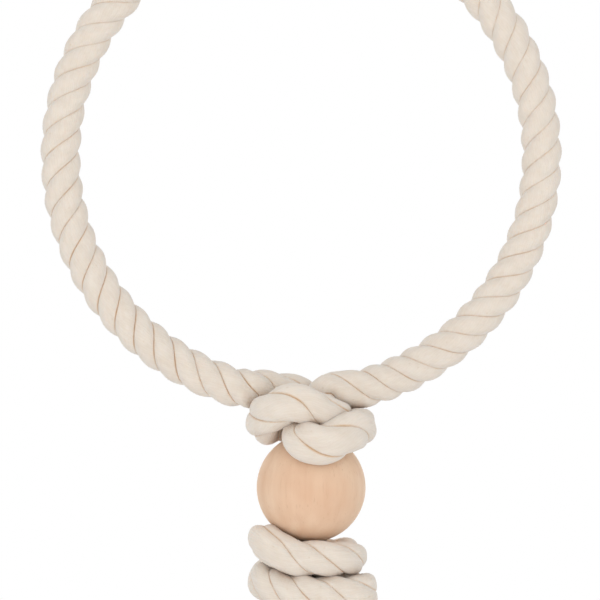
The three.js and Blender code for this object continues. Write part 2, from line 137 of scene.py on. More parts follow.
STOPPER_ROUTE = (
    (0.0, 0.0, 0.78, 0.33, 0.33),
    (0.08, 0.0, 0.465, 0.36, 0.36),
    (0.22, 0.0, 0.155, 0.43, 0.43),
    (0.325, 0.0, -0.12, 0.44, 0.44),
    (0.50, 0.0, -0.34, 0.44, 0.42),
    (0.775, -0.025, -0.52, 0.41, 0.39),
    (1.19, -0.14, -0.61, 0.47, 0.44),
    (1.385, -0.43, -0.70, 0.49, 0.45),
    (1.165, -0.71, -0.765, 0.50, 0.46),
    (0.75, -0.82, -0.765, 0.51, 0.47),
    (0.26, -0.84, -0.765, 0.51, 0.47),
    (-0.335, -0.81, -0.73, 0.51, 0.47),
    (-0.88, -0.66, -0.585, 0.48, 0.45),
    (-1.275, -0.25, -0.43, 0.48, 0.45),
    (-1.14, 0.39, -0.335, 0.47, 0.44),
    (-0.65, 0.93, -0.155, 0.48, 0.45),
    (0.05, 1.09, 0.04, 0.48, 0.45),
    (0.70, 0.88, 0.235, 0.48, 0.45),
    (1.05, 0.26, 0.17, 0.43, 0.43),
    (1.025, -0.33, 0.13, 0.42, 0.43),
    (0.70, -0.71, 0.18, 0.46, 0.44),
    (0.155, -0.84, 0.18, 0.47, 0.46),
    (-0.365, -0.84, 0.20, 0.48, 0.46),
    (-0.75, -0.82, 0.29, 0.49, 0.45),
    (-1.09, -0.71, 0.51, 0.49, 0.45),
    (-1.25, -0.43, 0.66, 0.48, 0.45),
    (-1.125, -0.15, 0.58, 0.45, 0.43),
    (-0.775, -0.025, 0.42, 0.40, 0.38),
    (-0.555, 0.0, 0.18, 0.42, 0.42),
    (-0.415, 0.0, -0.105, 0.44, 0.44),
    (-0.265, 0.0, -0.41, 0.43, 0.43),
    (-0.045, 0.0, -0.74, 0.36, 0.36),
    (0.0, 0.0, -0.97, 0.33, 0.33),
)


class Grain(Enum):
    """Which way a ball's wood grain runs."""

    UPRIGHT = (0.0, 0.0, 0.0)
    TURNED = (0.0, 0.0, 1.1)


def srgb(red: int, green: int, blue: int) -> Colour:
    """Turns an 8-bit screen colour into the linear colour that shaders use.

    Args:
        red: red, 0 to 255.
        green: green, 0 to 255.
        blue: blue, 0 to 255.

    Returns:
        Linear red, green, blue and an alpha of 1.
    """

    def linear(value: int) -> float:
        """One channel as light."""
        share = value / 255.0
        return share / 12.92 if share <= 0.04045 else ((share + 0.055) / 1.055) ** 2.4

    return linear(red), linear(green), linear(blue), 1.0


class NodeBench:
    """Adds nodes to one material or world and joins them."""

    def __init__(self, owner: Material | World) -> None:
        """Puts the owner's nodes to use."""
        owner.use_nodes = True
        self.tree = owner.node_tree

    @staticmethod
    def feed(node: Node, feeds: Feeds) -> None:
        """Sets a node's inputs, or joins them to other nodes.

        Args:
            node: the node.
            feeds: a value or another node's output for each input.
        """
        for key, value in feeds.items():
            if isinstance(value, NodeSocket):
                node.id_data.links.new(value, node.inputs[key])
            else:
                node.inputs[key].default_value = value

    def add(self, kind: str, feeds: Feeds, **choices: str) -> Node:
        """Adds a node.

        Args:
            kind: its Blender type, without the leading ShaderNode.
            feeds: what goes into its inputs.
            choices: its own settings.

        Returns:
            The new node.
        """
        node = self.tree.nodes.new(f"ShaderNode{kind}")
        for key, value in choices.items():
            setattr(node, key, value)
        self.feed(node, feeds)
        return node

    def dress(self, feeds: Feeds) -> None:
        """Sets the inputs of the material's own shader."""
        self.feed(self.tree.nodes["Principled BSDF"], feeds)

    def attribute(self, name: str, output: str) -> NodeSocket:
        """Reads an attribute of the piece's mesh."""
        return self.add("Attribute", {}, attribute_name=name).outputs[output]

    def place(self) -> NodeSocket:
        """Reads the place in the part's frame."""
        return self.add("TexCoord", {}).outputs["Object"]

    def mapping(self, feeds: Feeds, kind: str = "POINT") -> NodeSocket:
        """Moves, turns or stretches a pattern."""
        return self.add("Mapping", feeds, vector_type=kind).outputs["Vector"]

    def noise(self, vector: NodeSocket, **settings: float) -> NodeSocket:
        """Adds soft noise, about 0.5 in the middle."""
        feeds = {key.capitalize(): value for key, value in settings.items()}
        return self.add("TexNoise", {"Vector": vector, **feeds}).outputs["Fac"]

    def span(self, value: NodeSocket, start: Pair = UNIT, end: Pair = UNIT) -> NodeSocket:
        """Maps a value from one span to another and holds it there."""
        feeds = dict(zip(("From Min", "From Max", "To Min", "To Max"), (*start, *end)))
        return self.add("MapRange", {"Value": value, **feeds}).outputs["Result"]

    def blend(self, share: NodeSocket, first: Feed, second: Feed) -> NodeSocket:
        """Mixes a share of the second colour into the first."""
        feeds = {"Factor": share, "A": first, "B": second}
        return self.add("Mix", feeds, data_type="RGBA").outputs["Result"]

    def math(self, operation: str, *values: Feed) -> NodeSocket:
        """Works out one value from others."""
        return self.add("Math", dict(enumerate(values)), operation=operation).outputs["Value"]

    def bump(self, height: Feed, strength: float, distance: float) -> NodeSocket:
        """Turns a height into a normal."""
        feeds = {"Height": height, "Strength": strength, "Distance": distance}
        return self.add("Bump", feeds).outputs["Normal"]


@dataclass(frozen=True)
class CottonFinish:
    """Natural twisted cotton: soft fibres along the rope, with painted shade: tan in the grooves
    and brown where rope is shut in.
    """

    # Light and dark tones of the cotton, mixed at random and by the yarns, whose dips are painted
    # shade
    lit: Colour = srgb(233, 223, 211)
    shade: Colour = srgb(225, 213, 199)
    # Painted shade in the grooves between the strands
    groove: Colour = srgb(214, 182, 148)
    fleck: Colour = srgb(205, 183, 155)
    # Painted shade where rope is shut in by other rope or a ball
    crease_shade: Colour = srgb(152, 110, 72)
    # How much the fibres are drawn out along the rope
    fibre_stretch: Triple = (1.0, 1.0, 0.09)
    # Yarns that show once round the rope, how many radians of them pass in a metre along it, and
    # how far they stray
    yarns: int = 50
    yarn_slant: float = 600.0
    yarn_stray: float = 9.0
    # How much the yarns show in the tone, darker between them as painted shade, and in the bump
    yarn_dip_shade: float = 0.1
    yarn_height: float = 0.4

    def material(self, name: str) -> Material:
        """Makes the material, which reads the rope's own 'lay' attribute and two attributes that
        say how much shade is painted: 'groove' in the grooves, and another where rope is shut in.

        Args:
            name: the material's name.

        Returns:
            The cotton material.
        """
        material = bpy.data.materials.new(name)
        bench = NodeBench(material)
        lay = bench.attribute("lay", "Vector")
        drawn = bench.mapping({"Vector": lay, "Scale": self.fibre_stretch})
        fibre = bench.noise(drawn, scale=3600.0, detail=3.0, roughness=0.6)
        yarn = bench.noise(drawn, scale=1100.0, detail=2.0)
        cloud = bench.noise(lay, scale=260.0, detail=3.0)
        ridge = self.yarn_ridges(bench, lay)
        mean = bench.math("MULTIPLY", bench.math("ADD", cloud, yarn), 0.5)
        # The dips between yarns are painted shade
        tone = bench.math("MULTIPLY_ADD", ridge, self.yarn_dip_shade, mean)
        colour = bench.blend(bench.span(tone, start=(0.35, 0.7)), self.shade, self.lit)
        speck = bench.add("TexVoronoi", {"Vector": lay, "Scale": 230.0}).outputs["Distance"]
        flecks = bench.span(speck, start=(0.11, 0.05), end=(0.0, 0.22))
        colour = bench.blend(flecks, colour, self.fleck)
        # Painted shade in the grooves, its strength made uneven by a noise patch
        patch = bench.noise(lay, scale=90.0, detail=5.0, roughness=0.75)
        uneven = bench.span(patch, start=(0.38, 0.62), end=(0.2, 1.25))
        groove_shade_share = bench.math("MULTIPLY", bench.attribute("groove", "Fac"), uneven)
        colour = bench.blend(groove_shade_share, colour, self.groove)
        # Painted shade where rope is shut in
        colour = bench.blend(bench.attribute("crease_shade", "Fac"), colour, self.crease_shade)
        height = bench.math("MULTIPLY_ADD", ridge, self.yarn_height, fibre)
        bench.dress(
            {
                "Base Color": colour,
                "Roughness": 0.92,
                "Specular IOR Level": 0.2,
                "Sheen Weight": 0.25,
                "Sheen Roughness": 0.6,
                "Subsurface Weight": 0.5,
                "Subsurface Radius": (1.0, 0.85, 0.7),
                "Subsurface Scale": 2.5 * MM,
                "Normal": bench.bump(height, strength=0.6, distance=0.25 * MM),
            }
        )
        return material

    def yarn_ridges(self, bench: NodeBench, lay: NodeSocket) -> NodeSocket:
        """Adds the height of the yarns, which run nearly straight along the rope.

        Args:
            bench: the material's nodes.
            lay: the rope's 'lay'.

        Returns:
            The height, from 0 between yarns to 1 on them.
        """
        parts = bench.add("SeparateXYZ", {"Vector": lay}).outputs
        around = bench.math("ARCTAN2", parts["Y"], parts["X"])
        wander = bench.noise(lay, scale=170.0, detail=2.0)
        strayed = bench.math("MULTIPLY", wander, self.yarn_stray)
        slanted = bench.math("MULTIPLY_ADD", parts["Z"], self.yarn_slant, strayed)
        phase = bench.math("MULTIPLY_ADD", around, self.yarns / 2, slanted)
        return bench.math("ABSOLUTE", bench.math("SINE", phase))


@dataclass(frozen=True)
class WoodFinish:
    """Pale bare wood, sanded smooth, with a faint fine grain."""

    light: Colour = srgb(233, 203, 176)
    dark: Colour = srgb(223, 187, 158)
    pore: Colour = srgb(206, 169, 139)
    # How much the grain is drawn out along the wood
    grain_stretch: Triple = (1.0, 1.0, 0.045)

    def material(self, name: str, centre: Vector, grain: Grain) -> Material:
        """Makes the material for one ball.

        Args:
            name: the material's name.
            centre: the ball's centre, which the growth rings are placed from.
            grain: which way the grain runs.

        Returns:
            The wood material.
        """
        material = bpy.data.materials.new(name)
        bench = NodeBench(material)
        pose = {"Vector": bench.place(), "Location": centre, "Rotation": grain.value}
        turned = bench.mapping(pose, "TEXTURE")
        along = bench.mapping({"Vector": turned, "Scale": self.grain_stretch})
        rings = bench.noise(along, scale=190.0, detail=4.0, distortion=0.3)
        lines = bench.noise(along, scale=1500.0, detail=3.0)
        cloud = bench.noise(turned, scale=70.0, detail=2.0)
        mean = bench.math("MULTIPLY_ADD", rings, 0.5, bench.math("MULTIPLY", cloud, 0.5))
        colour = bench.blend(bench.span(mean, start=(0.36, 0.64)), self.dark, self.light)
        pores = bench.span(lines, start=(0.6, 0.78), end=(0.0, 0.55))
        bench.dress(
            {
                "Base Color": bench.blend(pores, colour, self.pore),
                "Roughness": bench.span(lines, end=(0.5, 0.64)),
                "Specular IOR Level": 0.03,
                "Subsurface Weight": 0.6,
                "Subsurface Radius": (1.0, 0.9, 0.85),
                "Subsurface Scale": 8.0 * MM,
                "Normal": bench.bump(lines, strength=0.12, distance=0.1 * MM),
            }
        )
        return material


@dataclass(frozen=True)
class SteelFinish:
    """Steel wire, with fine drawing marks and a little clouding."""

    colour: Colour = srgb(214, 216, 219)
    clouded: Colour = srgb(192, 194, 198)
    roughness: Pair = (0.16, 0.34)

    def material(self, name: str) -> Material:
        """Makes the material.

        Args:
            name: the material's name.

        Returns:
            The steel material.
        """
        material = bpy.data.materials.new(name)
        bench = NodeBench(material)
        place = bench.place()
        cloud = bench.noise(place, scale=220.0, detail=3.0)
        marks = bench.noise(place, scale=900.0, detail=4.0)
        bench.dress(
            {
                "Base Color": bench.blend(cloud, self.clouded, self.colour),
                "Metallic": 1.0,
                "Roughness": bench.span(marks, end=self.roughness),
                "Normal": bench.bump(marks, strength=0.06, distance=0.05 * MM),
            }
        )
        return material


def add_piece(name: str, bm: BMesh, material: Material) -> Object:
    """Turns a finished bmesh into a smooth-shaded object at the origin.

    Args:
        name: the piece's name.
        bm: its mesh, which is freed.
        material: its finish.

    Returns:
        The new object.
    """
    mesh = bpy.data.meshes.new(name)
    bm.to_mesh(mesh)
    bm.free()
    mesh.shade_smooth()
    mesh.materials.append(material)
    piece = bpy.data.objects.new(name, mesh)
    bpy.context.scene.collection.objects.link(piece)
    log.info("%s: %d faces", name, len(mesh.polygons))
    return piece


def draw_profile(
    bm: BMesh, places: Sequence[Sequence[float]], closed: bool
) -> list[BMEdge | BMVert]:
    """Draws a line to be spun.

    Args:
        bm: the mesh to draw in.
        places: the line's corners.
        closed: whether it runs back to the first.

    Returns:
        Its edges and corners.
    """
    corners = [bm.verts.new(place) for place in places]
    ends = corners[1:] + corners[:1] if closed else corners[1:]
    return [bm.edges.new(pair) for pair in zip(corners, ends)] + corners


def spin_round(
    bm: BMesh, line: Sequence[BMEdge | BMVert], centre: Vector | Triple, axis: Triple, steps: int
) -> None:
    """Spins a line once round into a closed shape that faces outwards.

    Args:
        bm: the mesh that the line is in.
        line: its edges and corners.
        centre: a place on the axis.
        axis: the axis's direction.
        steps: faces once round.
    """
    bmesh.ops.spin(
        bm, geom=line, cent=centre, axis=axis, angle=FULL_TURN, steps=steps, use_merge=True
    )
    bmesh.ops.remove_doubles(bm, verts=bm.verts, dist=MERGE_DISTANCE)
    bmesh.ops.recalc_face_normals(bm, faces=bm.faces)


def round_edges(bm: BMesh, edges: list[BMEdge], size: float, segments: int) -> list[BMVert]:
    """Rounds edges.

    Args:
        bm: the mesh.
        edges: the edges to round.
        size: how far from the edge the rounding starts.
        segments: faces across it.

    Returns:
        The vertices that it made.
    """
    made = bmesh.ops.bevel(
        bm, geom=edges, offset=size, affect="EDGES", segments=segments, profile=0.5, material=-1
    )
    return made["verts"]


def raise_face(bm: BMesh, face: BMFace, move: Triple) -> list[BMVert]:
    """Draws a face out into a solid and keeps the face as its foot.

    Args:
        bm: the mesh.
        face: the face.
        move: how far to draw it.

    Returns:
        The corners of the face's new end.
    """
    grown = bmesh.ops.extrude_face_region(bm, geom=[face], use_keep_orig=True)["geom"]
    ends = [item for item in grown if isinstance(item, BMVert)]
    bmesh.ops.translate(bm, verts=ends, vec=move)
    return ends


def line_length(rows: np.ndarray) -> np.ndarray:
    """Distance of each row along the line that the rows follow."""
    steps = np.linalg.norm(np.diff(rows[:, :3], axis=0), axis=1)
    return np.concatenate([[0.0], np.cumsum(steps)])


def follow_route(points: Sequence[Sequence[float]]) -> np.ndarray:
    """Samples a cubic B-spline led by points, which starts and ends on the first and last of them.

    Args:
        points: rows of x, y, z and any further values.

    Returns:
        Rows like the points', evenly spaced along the line.
    """
    rows = np.array(points, float)
    held = np.vstack([2 * rows[0] - rows[1], rows, 2 * rows[-1] - rows[-2]])
    samples: list[np.ndarray] = []
    for i in range(len(rows) - 1):
        for u in np.linspace(0.0, 1.0, ROUTE_SAMPLES, endpoint=False):
            weights = np.array(
                [(1 - u) ** 3, 3 * u**3 - 6 * u**2 + 4, -3 * u**3 + 3 * u**2 + 3 * u + 1, u**3]
            )
            samples.append(weights @ held[i : i + 4] / 6)
    fine = np.array([*samples, rows[-1]])
    along = line_length(fine)
    count = max(2, int(round(along[-1] / STATION_SPACING)) + 1)
    wanted = np.linspace(0.0, along[-1], count)
    return np.stack([np.interp(wanted, along, values) for values in fine.T], axis=1)


def scaled(route: Sequence[Sequence[float]], centre: Vector, turn: float) -> list[list[float]]:
    """Puts a route in place.

    Args:
        route: points in rope diameters.
        centre: the knot's middle.
        turn: how far the knot is turned about the drop line.

    Returns:
        The points in metres.
    """
    swing = Matrix.Rotation(turn, 3, "Z")
    points = []
    for x, y, z, width, thickness in route:
        place = centre + swing @ (Vector((x, y, z)) * ROPE_DIAMETER)
        points.append([*place, width * ROPE_DIAMETER, thickness * ROPE_DIAMETER])
    return points


def lay_rope(points: Sequence[Sequence[float]], keys: Keys, start: float) -> np.ndarray:
    """Follows a route and adds the turns that the rope's strands make along it.

    Args:
        points: the route's points.
        keys: numbers of points, and the turns made there.
        start: turns made before the first.

    Returns:
        Rows along the line, each with its turns as a last value.
    """
    rows = follow_route([[*point, number] for number, point in enumerate(points)])
    turns = start + np.interp(rows[:, 5], *zip(*keys))
    padded = np.pad(turns, TURN_SMOOTHING, mode="reflect", reflect_type="odd")
    window = 2 * TURN_SMOOTHING + 1
    rows[:, 5] = np.convolve(padded, np.full(window, 1.0 / window), "valid")
    return rows


@dataclass(frozen=True)
class Seat:
    """A ball that rope rests on."""

    centre: np.ndarray
    radius: float
    bore: float

    def push_out(self, place: np.ndarray) -> np.ndarray:
        """Moves a place inside the ball's wood out to its surface.

        Args:
            place: a point of the rope.

        Returns:
            The point, on the ball if it was in the wood.
        """
        away = place - self.centre
        distance = np.linalg.norm(away)
        if distance >= self.radius or math.hypot(away[0], away[1]) < self.bore:
            return place
        return self.centre + away * (self.radius / distance)


@dataclass(frozen=True)
class RopeSection:
    """Outline of a laid rope's cross-section: round strands that meet in narrow grooves."""

    strands: int = 3
    strand_offset: float = 0.31
    slit_depth: float = 0.045
    slit_half_angle: float = math.radians(3.0)
    # How far the painted shade in a groove reaches, in slit widths, and how both fade
    groove_shade_reach: float = 2.5
    fade: float = 1.5
    # Places from a groove to a crown, as shares of a strand
    steps: tuple[float, ...] = (0.0, 0.012, 0.03, 0.06, 0.1, 0.16, 0.24, 0.33, 0.42)

    def outline(self) -> tuple[np.ndarray, np.ndarray, np.ndarray, np.ndarray]:
        """Works out the outline once round.

        Returns:
            Angles from the first groove, radii of the strands and depths of the slits between them
            as shares of the rope's radius, and the share of painted shade at each place, full in a
            groove.
        """
        half = [*self.steps, 0.5]
        shares = np.array(half + [1.0 - share for share in reversed(self.steps[1:])])
        pitch = FULL_TURN / self.strands
        from_crown = (shares - 0.5) * pitch
        from_groove = pitch / 2 - np.abs(from_crown)
        offset = self.strand_offset
        rise = np.sqrt((1.0 - offset) ** 2 - (offset * np.sin(from_crown)) ** 2)
        radii = offset * np.cos(from_crown) + rise
        reach = self.slit_half_angle
        slit = np.clip(1.0 - from_groove / reach, 0.0, 1.0) ** self.fade
        groove_shade_share = np.clip(1.0 - from_groove / (self.groove_shade_reach * reach), 0.0, 1.0) ** self.fade
        angles = np.concatenate([(strand + shares) * pitch for strand in range(self.strands)])
        once = (radii, self.slit_depth * slit, groove_shade_share)
        return angles, *(np.tile(values, self.strands) for values in once)


@dataclass
class RopeLine:
    """A stretch of rope.

    Each row holds a place, the rope's half width and half thickness there, and its strands' turns.
    """

    rows: np.ndarray
    flat_to: Callable[[np.ndarray], np.ndarray]
    groove_share: Callable[[np.ndarray], float]
    frame_row: int
    frame_normal: np.ndarray
    section: RopeSection = field(default_factory=RopeSection)
    # How square a pressed rope gets, and how much thinner than round it is when it is fully pressed
    squareness: float = 0.4
    full_press: float = 0.04
    # How uneven the strands are, as a share of the rope's radius, how many lumps to a metre, and
    # how these are drawn out along the rope and layered
    unevenness: float = 0.022
    lump_rate: float = 330.0
    lump_stretch: float = 0.6
    lump_layers: tuple[float, float, int] = (1.0, 2.0, 3)

    def frames(self) -> tuple[np.ndarray, np.ndarray, np.ndarray]:
        """Carries a frame along the line without twisting it.

        Returns:
            Tangents, normals and binormals, a row for each place on the line.
        """
        centres = self.rows[:, :3]
        tangents = np.gradient(centres, axis=0)
        tangents /= np.linalg.norm(tangents, axis=1)[:, None]
        normals = np.zeros_like(tangents)

        def carry(normal: np.ndarray, row: int) -> np.ndarray:
            """Keeps a normal square to the line at a row."""
            squared = normal - tangents[row] * (normal @ tangents[row])
            return squared / np.linalg.norm(squared)

        normals[self.frame_row] = carry(self.frame_normal, self.frame_row)
        for row in range(self.frame_row + 1, len(centres)):
            normals[row] = carry(normals[row - 1], row)
        for row in range(self.frame_row - 1, -1, -1):
            normals[row] = carry(normals[row + 1], row)
        return tangents, normals, np.cross(tangents, normals)

    def faces(self, tangents: np.ndarray) -> np.ndarray:
        """Finds the directions square to the line in which the rope is pressed flat.

        Args:
            tangents: the line's tangents.

        Returns:
            The directions, a row for each place on the line.
        """
        flats = np.array([self.flat_to(row) for row in self.rows])
        flats -= tangents * np.sum(flats * tangents, axis=1)[:, None]
        return flats / np.linalg.norm(flats, axis=1)[:, None]

    def build(self, name: str, material: Material, press: Sequence[Seat]) -> Object:
        """Lays the strands along the line as one closed mesh.

        Args:
            name: the piece's name.
            material: the cotton.
            press: the balls that the rope is pressed flat against.

        Returns:
            The rope.
        """
        angles, radii, slits, groove_shade_profile = self.section.outline()
        tangents, normals, binormals = self.frames()
        flats = self.faces(tangents)
        along = line_length(self.rows)
        turn = FULL_TURN * self.rows[:, 5]
        shares = [self.groove_share(row) for row in self.rows]
        pressed = np.clip((0.5 - self.rows[:, 4] / ROPE_DIAMETER) / self.full_press, 0.0, 1.0)
        stations, around = len(self.rows), len(angles)
        bm = bmesh.new()
        bmesh.ops.create_grid(bm, x_segments=stations - 1, y_segments=around, size=0.5)
        lay_layer = bm.verts.layers.float_vector.new("lay")
        groove_shade_layer = bm.verts.layers.float.new("groove")
        for vertex in bm.verts:
            i = int(round((vertex.co.x + 0.5) * (stations - 1)))
            j = int(round((vertex.co.y + 0.5) * around)) % around
            angle = turn[i] + angles[j]
            across = 0.5 * ROPE_DIAMETER * radii[j]
            lay = Vector((across * math.cos(angle), across * math.sin(angle), along[i]))
            spot = Vector((lay.x, lay.y, self.lump_stretch * lay.z)) * self.lump_rate
            lump = self.unevenness * noise.fractal(spot, *self.lump_layers)
            reach = radii[j] - shares[i] * slits[j] + lump
            spoke = reach * (math.cos(angle) * normals[i] + math.sin(angle) * binormals[i])
            out = (spoke @ flats[i]) * flats[i]
            side = spoke - out
            power = 2.0 + self.squareness * pressed[i]
            out_share, side_share = np.linalg.norm(out) / reach, np.linalg.norm(side) / reach
            fill = (out_share**power + side_share**power) ** (-1.0 / power)
            half_width, half_thickness = self.rows[i, 3], self.rows[i, 4]
            place = self.rows[i, :3] + fill * (half_thickness * out + half_width * side)
            for seat in press:
                place = seat.push_out(place)
            vertex.co = place
            vertex[lay_layer] = lay
            # Share of painted shade in the grooves at this point
            vertex[groove_shade_layer] = float(shares[i] * groove_shade_profile[j])
        bmesh.ops.remove_doubles(bm, verts=bm.verts, dist=MERGE_DISTANCE)
        rims = [edge for edge in bm.edges if edge.is_boundary]
        bmesh.ops.holes_fill(bm, edges=rims, sides=0)
        bmesh.ops.recalc_face_normals(bm, faces=bm.faces)
        return add_piece(name, bm, material)


@dataclass(frozen=True)
class CreaseShadeMarker:
    """Marks where ropes are shut in by what lies against them, for the shade that is painted there.
    """

    # How far it looks, from how far off the rope, and how much its looks to the sides lean
    reach: float = 2.2 * MM
    lift: float = 0.15 * MM
    tilt: float = 1.0
    # A slanting direction that the looks to the sides are laid out from
    askew: Triple = (0.3, 0.5, 0.8)
    # Rope nearer than this along the same rope doesn't shut a place in
    own_pass: float = 1.6 * ROPE_DIAMETER
    # How strong the painted shade is, how it fades, and how many times it is softened
    gain: float = 2.0
    fade: float = 1.3
    soften: int = 4

    def mark(self, ropes: Sequence[Object], solids: Sequence[Object]) -> None:
        """Writes how far each point of the ropes is shut in, as an attribute of painted shade
        there.

        Args:
            ropes: the ropes to mark.
            solids: every piece that can lie against them.
        """
        bm = bmesh.new()
        places: list[tuple[Object, float]] = []
        for solid in solids:
            mesh = solid.data
            bm.from_mesh(mesh)
            lay = mesh.attributes.get("lay")
            along = [item.vector.z for item in lay.data] if lay else [0.0] * len(mesh.vertices)
            places += [(solid, along[face.vertices[0]]) for face in mesh.polygons]
        tree = BVHTree.FromBMesh(bm)
        bm.free()
        for rope in ropes:
            values = self.softened(rope.data, self.shut_in(rope, tree, places))
            # No painted shade for being shut in where the grooves already have theirs
            groove = np.zeros(len(values))
            rope.data.attributes["groove"].data.foreach_get("value", groove)
            layer = rope.data.attributes.new("crease_shade", "FLOAT", "POINT")
            layer.data.foreach_set("value", values * (1.0 - groove))

    def shut_in(
        self, rope: Object, tree: BVHTree, places: Sequence[tuple[Object, float]]
    ) -> np.ndarray:
        """Looks out from each point of a rope.

        Args:
            rope: the rope.
            tree: the faces that can be seen from it.
            places: the piece of each face, and its place along that piece.

        Returns:
            How far each point is shut in, from 0 to 1.
        """
        lay = rope.data.attributes["lay"].data
        shut = []
        for vertex in rope.data.vertices:
            normal, here = vertex.normal, lay[vertex.index].vector.z
            side = normal.cross(self.askew).normalized()
            leans = [self.tilt * side, self.tilt * normal.cross(side)]
            rays = [normal, *(normal + sign * lean for lean in leans for sign in (1, -1))]
            total = 0.0
            for ray in rays:
                start = vertex.co + self.lift * normal
                _, _, index, distance = tree.ray_cast(start, ray, self.reach)
                if index is None:
                    continue
                solid, along = places[index]
                if solid is not rope or abs(along - here) > self.own_pass:
                    total += 1.0 - distance / self.reach
            shut.append(total / len(rays))
        return np.clip(self.gain * np.array(shut), 0.0, 1.0) ** self.fade

    def softened(self, mesh: Mesh, values: np.ndarray) -> np.ndarray:
        """Evens values out over neighbouring points.

        Args:
            mesh: the mesh.
            values: a value for each of its points.

        Returns:
            The evened values.
        """
        starts, ends = np.array([edge.vertices[:] for edge in mesh.edges]).T
        count = len(values)
        shares = np.bincount(starts, minlength=count) + np.bincount(ends, minlength=count)
        for _ in range(self.soften):
            near = np.bincount(starts, values[ends], count)
            near = near + np.bincount(ends, values[starts], count)
            values = (values + near / shares) / 2
        return values


@dataclass
class WoodenBall:
    """A turned ball, bored through for the rope."""

    node: str
    body: str
    grain: Grain
    bore: float = 4.986 * MM
    chamfer: float = 0.8 * MM
    # Depth of the bore's rounded mouth in chamfers
    mouth_depth: float = 1.6
    # Room between the wood and rope that is pressed on it
    room: float = 0.05 * MM
    segments: int = 128
    arc_steps: int = 48

    def __post_init__(self) -> None:
        """Reads the ball's place and size from its solid."""
        low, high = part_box(self.node)
        self.centre = (low + high) / 2
        self.radius = (high.x - low.x) / 2

    def seat(self) -> Seat:
        """The ball as the rope meets it."""
        return Seat(np.array(self.centre), self.radius + self.room, self.bore + self.chamfer)

    def build(self, finish: WoodFinish) -> Object:
        """Turns the ball's profile about its bore.

        Args:
            finish: the wood.

        Returns:
            The ball.
        """
        start = math.asin((self.bore + self.chamfer) / self.radius)
        sweep = math.pi - 2 * start
        angles = [start + sweep * step / self.arc_steps for step in range(self.arc_steps + 1)]
        arc = [(self.radius * math.sin(angle), self.radius * math.cos(angle)) for angle in angles]
        height, edge = arc[0][1], 0.5 * self.chamfer
        mouth = [(self.bore, height - self.mouth_depth * self.chamfer)]
        mouth.append((self.bore + edge, height - edge))
        profile = [*mouth, *arc, *((r, -z) for r, z in reversed(mouth))]
        places = [self.centre + Vector((r, 0.0, z)) for r, z in profile]
        bm = bmesh.new()
        line = draw_profile(bm, places, closed=True)
        spin_round(bm, line, self.centre, (0.0, 0.0, 1.0), self.segments)
        wood = finish.material(f"wood_{self.node}", self.centre, self.grain)
        piece = add_piece(f"turned_{self.node}", bm, wood)
        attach(piece, self.body)
        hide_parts(self.node)
        return piece


@dataclass
class SteelRing:
    """The welded steel ring that the rope ring hangs from."""

    node: str = "hanging_ring"
    sides: int = 28
    steps: int = 112
    # Where the weld lies, how wide it is, and how far it stands out as a share of the wire
    weld_place: Triple = (0.0, 1.0, 1.0)
    weld_width: float = 1.3 * MM
    weld_rise: float = 0.035

    def build(self, steel: Material) -> Object:
        """Spins the wire's round section about the ring's axis, and raises a low weld on it.

        Args:
            steel: its material.

        Returns:
            The ring.
        """
        low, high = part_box(self.node)
        centre = (low + high) / 2
        wire = (high.x - low.x) / 2
        radius = (high.z - low.z) / 2 - wire
        foot = Matrix.Translation(centre + Vector((0.0, 0.0, -radius)))
        bm = bmesh.new()
        bmesh.ops.create_circle(
            bm,
            segments=self.sides,
            radius=wire,
            matrix=foot @ Matrix.Rotation(math.pi / 2, 4, "X"),
        )
        spin_round(bm, bm.verts[:] + bm.edges[:], centre, (1.0, 0.0, 0.0), self.steps)
        for vertex in bm.verts:
            spoke = (vertex.co - centre) * Vector((0.0, 1.0, 1.0))
            middle = centre + spoke.normalized() * radius
            from_weld = spoke.angle(Vector(self.weld_place)) * radius / self.weld_width
            vertex.co += (vertex.co - middle) * self.weld_rise * math.exp(-(from_weld**2))
        piece = add_piece("steel_ring", bm, steel)
        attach(piece, "hanger")
        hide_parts(self.node)
        return piece


